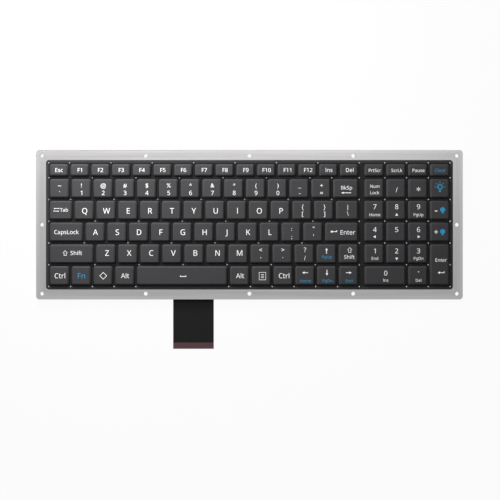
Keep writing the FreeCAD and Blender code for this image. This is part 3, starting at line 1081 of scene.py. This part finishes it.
heads = bmesh.new()
for place in rivet_places():
    stud(heads, place, RIVET_RADII, RIVET_HEIGHT, RIVET_SHOULDER, RIVET_SIDES)
for face in heads.faces:
    face.smooth = face.normal.z > LOOKS_BACK
nickel = finish(
    "nickel",
    shades(NICKEL_GRAIN, grey(0.38), grey(0.48)),
    drift(NICKEL_GRAIN, 0.40, 0.15),
    Metallic=1.0,
)
rivets = piece("rivet_heads", heads, [nickel], "panel", "rivets", "grid_rivets")
print("rivets", sum(1 for place in rivet_places()), "faces", len(rivets.data.polygons))

# %% [markdown]
# ## The dome sheet
# Under each key lies a rubber dome that collapses when the key goes down. It is a stud as well, only
# larger. The keys that move in this model each get a separate dome piece. The other domes stay in
# one piece with the mat. The long space bar stands on three.

# %% Mat and domes
SHEET_FRONT = -1.0 * MM
SHEET_REAR = -1.6 * MM
SHEET_SIZE = (353.5 * MM, 110.5 * MM)
DOME_RADII = (4.0 * MM, 2.5 * MM)
DOME_SHOULDER = (0.7 * MM, 0.35 * MM)
DOME_SIDES = 16
SPACE_DOME_PITCH = 28.0 * MM
RUBBER_CLOUDS = 500

rubber = finish(
    "translucent_rubber",
    shades(RUBBER_CLOUDS, (0.62, 0.62, 0.58), (0.74, 0.74, 0.70)),
    drift(RUBBER_CLOUDS, 0.55, 0.15),
    Subsurface_Weight=0.1,
)


def add_domes(shape, cell):
    """Adds the domes from the sheet to one key."""
    height = FLANGE_REAR - SHEET_FRONT
    steps = (-1, 0, 1) if cell.name == "key_space" else (0,)
    for step in steps:
        place = (cell.x + step * SPACE_DOME_PITCH, cell.y, SHEET_FRONT)
        stud(shape, place, DOME_RADII, height, DOME_SHOULDER, DOME_SIDES)


mat = bmesh.new()
block(mat, 0, 0, SHEET_SIZE, SHEET_REAR, SHEET_FRONT)
flattening = 0
for cell in CELLS:
    if cell.name not in frame["bodies"]:
        add_domes(mat, cell)
        continue
    shape = bmesh.new()
    add_domes(shape, cell)
    dome = piece(f"dome_{cell.name}", shape, [rubber], "panel", "dome_rubber")
    shade_round(dome)
    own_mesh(dome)
    flattening += 1
shade_round(piece("dome_mat", mat, [rubber], "panel", "dome_rubber", "dome_sheet"))
print("dome pieces that flatten", flattening)

# %% [markdown]
# ## Finishes for the nodes that stay
# The grid, the tail, the pan and the board already have their true shapes in the frame, so they
# only need a finish. The tail is a printed film: copper tracks under a black cover, which show as
# faint ridges along it. The strip at its end is a stiffer brown laminate with its fibres along the
# strip. The grid's bars between the keys are painted darker than its outer lip: painted shade, where
# the keys shadow them.

# %% Grid, tail and strip
GRID_GRAIN = 1500
GRID_GRAIN_DEPTH = 0.01 * MM
LIP_START = 0.2 * MM
TAIL_X = -49.4 * MM
TAIL_HALF = 17.9 * MM
TAIL_BORDER = 1.2 * MM
TRACK_PITCH = 1.4 * MM
TRACK_EDGE = 0.1
TRACK_DEPTH = 0.02 * MM
FILM_CLOUDS = 120
FILM_GLOSS = 300
FIBRES = (60, 900, 900)
STRIP_GLOSS = 400


def tracks(place):
    """1 on a copper track of the tail, 0 between two and along the borders."""
    across = place.axis(0) - TAIL_X
    wave = (across * (2 * math.pi / TRACK_PITCH)).sine()
    return (wave > TRACK_EDGE) * (abs(across) < TAIL_HALF - TAIL_BORDER)


def lip(place):
    """1 on the grid's outer lip, 0 on the bars between the keys."""
    return place.beyond((BLOCK_WIDTH, BLOCK_DEPTH)) > LIP_START


def grid_grain_and_painted_shade(place):
    """Fine grain, and painted shade: the bars between the keys darker than the lip."""
    # Painted shade: the bars between the keys are darker than the lip, where the keys shadow them.
    shade = place.noise(GRID_GRAIN) * 0.4 + lip(place) * 0.6
    return shade.blend(grey(0.007), grey(0.040))


def film_shade(place):
    """Tracks under a slightly cloudy cover."""
    shade = tracks(place) * 0.7 + place.noise(FILM_CLOUDS) * 0.3
    return shade.blend(grey(0.010), grey(0.015))


def strip_shade(place):
    """Streaks along the strip."""
    fibres = place.stretched(FIBRES).noise(1.0)
    return fibres.blend((0.093, 0.049, 0.054), (0.130, 0.068, 0.076))


def wear(node, material):
    """Gives a node of the frame its finish."""
    thing = frame["nodes"][node]
    thing.data.materials.clear()
    thing.data.materials.append(material)
    print(node, "wears", material.name)


grid_black = finish(
    "grid_black",
    grid_grain_and_painted_shade,
    lambda place: place.noise(GRID_GRAIN) * 0.12 + 0.50 - lip(place) * 0.06,
    lambda place: place.noise(GRID_GRAIN),
    GRID_GRAIN_DEPTH,
    Specular_IOR_Level=0.12,
)
tail_film = finish(
    "tail_film",
    film_shade,
    drift(FILM_GLOSS, 0.42, 0.1),
    tracks,
    TRACK_DEPTH,
    Specular_IOR_Level=0.10,
)
brown_laminate = finish(
    "brown_laminate",
    strip_shade,
    drift(STRIP_GLOSS, 0.45, 0.12),
    Specular_IOR_Level=0.2,
)
wear("key_bezel", grid_black)
wear("ribbon_tail", tail_film)
wear("tail_stiffener", brown_laminate)

# %% [markdown]
# ## The parts behind the plate
# They show only from the back or with the keys away, but they are finished all the same. The pan is
# rolled sheet metal, so its noise is drawn out along the rolling direction. The board has a green
# cover, and the small lamps on it are cream.

# %% Pan, board and lamps
ROLLING = (40, 300, 300)
BOARD_CLOUDS = 250
LAMP_CLOUDS = 900


def rolled(place):
    """Noise drawn out along the sheet."""
    return place.stretched(ROLLING).noise(1.0, detail=3)


rolled_metal = finish(
    "rolled_metal",
    lambda place: rolled(place).blend(grey(0.42), grey(0.52)),
    lambda place: rolled(place) * 0.15 + 0.38,
    Metallic=1.0,
)
board_green = finish(
    "board_green",
    shades(BOARD_CLOUDS, (0.012, 0.09, 0.04), (0.02, 0.13, 0.055)),
    drift(BOARD_CLOUDS, 0.35, 0.1),
)
lamp_cream = finish(
    "lamp_cream",
    shades(LAMP_CLOUDS, (0.80, 0.74, 0.48), (0.86, 0.82, 0.60)),
    drift(LAMP_CLOUDS, 0.3, 0.1),
)
wear("rear_pan", rolled_metal)
wear("circuit_board", board_green)
wear("backlight_leds", lamp_cream)

# %% [markdown]
# ## A white floor
# The picture looks straight down on a white ground. The floor is pale, and for the camera and for
# reflections most of its brightness is its own, so it stays white and still takes a soft shadow.
# For all other rays it is a plain pale floor, so that it throws no extra light on the part.

# %% The floor
UNDER_THE_PART = 0.1 * MM
FLOOR_LEVEL = cad_box[0].z - UNDER_THE_PART
FLOOR_WIDTH = 12.0
FLOOR_PAINT = 0.9
FLOOR_OWN_LIGHT = 0.95
WHITE_LIGHT = (*grey(1.0), 1.0)


def seen(wire):
    """1 for rays from the camera, from a reflection or through glass, 0 for the others."""
    rays = ("Is Camera Ray", "Is Glossy Ray", "Is Transmission Ray")
    first, second, third = (wire.node("ShaderNodeLightPath", output=ray) for ray in rays)
    return first + second + third


def floor_material():
    material = bpy.data.materials.new("white_floor")
    material.use_nodes = True
    material.node_tree.nodes.clear()
    wire = Wire(material.node_tree)
    paint = wire.node("ShaderNodeBsdfDiffuse", inputs={"Color": (*grey(FLOOR_PAINT), 1.0)})
    glow = wire.node("ShaderNodeEmission", inputs={"Color": WHITE_LIGHT, "Strength": 1.0})
    own_light = seen(wire) * FLOOR_OWN_LIGHT
    mixed = wire.node("ShaderNodeMixShader", inputs={0: own_light, 1: paint, 2: glow})
    wire.node("ShaderNodeOutputMaterial", inputs={"Surface": mixed})
    return material


ground = bmesh.new()
bar(ground, 0, 0, FLOOR_WIDTH, FLOOR_WIDTH)
bmesh.ops.translate(ground, verts=ground.verts, vec=(0, 0, FLOOR_LEVEL))
floor = new_thing("floor", ground, [floor_material()])
print("floor at", round(FLOOR_LEVEL / MM, 2), "mm")

# %% [markdown]
# ## Light
# One soft lamp stands close by at the upper left: being near, it leaves the lower right darker, as
# the picture has it. Metal would mirror it as a glare that swallows the plate's edge from the side,
# so reflections don't see this lamp. A long soft box over the far edge, which shines straight down,
# gives the metal its sheen instead. The sky is white where it is seen and lights the part only a
# little.

# %% The lamps and the sky
NEAR_LAMP_PLACE = Vector((-0.173, 0.248, 0.171))
NEAR_LAMP_SIZE = (0.12, 0.12)
NEAR_LAMP_POWER = 1.56
SOFT_BOX_PLACE = Vector((-0.11, 0.215, 0.46))
SOFT_BOX_SIZE = (0.80, 0.10)
SOFT_BOX_POWER = 1.5
STRAIGHT_DOWN = Vector((0, 0, -1))
SKY_FILL = 0.02


def soft_lamp(name, place, direction, size, power):
    """A flat lamp that shines in a direction and isn't in the picture itself."""
    lamp_data = bpy.data.lights.new(name, "AREA")
    lamp_data.shape = "RECTANGLE"
    lamp_data.size, lamp_data.size_y = size
    lamp_data.energy = power
    stand = bpy.data.objects.new(name, lamp_data)
    stand.location = place
    stand.rotation_mode = "QUATERNION"
    stand.rotation_quaternion = direction.to_track_quat("-Z", "Y")
    stand.visible_camera = False
    bpy.context.scene.collection.objects.link(stand)
    return stand


near_lamp = soft_lamp(
    "near_lamp", NEAR_LAMP_PLACE, -NEAR_LAMP_PLACE, NEAR_LAMP_SIZE, NEAR_LAMP_POWER
)
near_lamp.visible_glossy = False
soft_lamp("soft_box", SOFT_BOX_PLACE, STRAIGHT_DOWN, SOFT_BOX_SIZE, SOFT_BOX_POWER)
sky = bpy.data.worlds.new("white_sky")
bpy.context.scene.world = sky
sky.use_nodes = True
sky.node_tree.nodes.clear()
wire = Wire(sky.node_tree)
strength = seen(wire) * (1 - SKY_FILL) + SKY_FILL
light = wire.node("ShaderNodeBackground", inputs={"Color": WHITE_LIGHT, "Strength": strength})
wire.node("ShaderNodeOutputWorld", inputs={"Surface": light})
bpy.context.scene.view_settings.view_transform = "Standard"
print("lamps", [thing.name for thing in bpy.context.scene.objects if thing.type == "LIGHT"])

# %% [markdown]
# ## Camera
# The picture is square on, so the camera hangs over the plate and looks straight down, which is
# what a camera does that hasn't been turned. Its distance sets how much of the caps' sides shows,
# and the lens follows from that distance and from the width of the view at the plate.

# %% The camera
CAMERA_DISTANCE = 0.75
FRAME_WIDTH = 438.15 * MM
AIM = (0.48 * MM, -22.14 * MM)
SENSOR_WIDTH = 36.0

camera_data = bpy.data.cameras.new("camera")
camera_data.sensor_width = SENSOR_WIDTH
camera_data.lens = SENSOR_WIDTH * CAMERA_DISTANCE / FRAME_WIDTH
camera = bpy.data.objects.new("camera", camera_data)
camera.location = (*AIM, PLATE_FRONT + CAMERA_DISTANCE)
bpy.context.scene.collection.objects.link(camera)
bpy.context.scene.camera = camera
print("lens", round(camera_data.lens, 1), "mm")
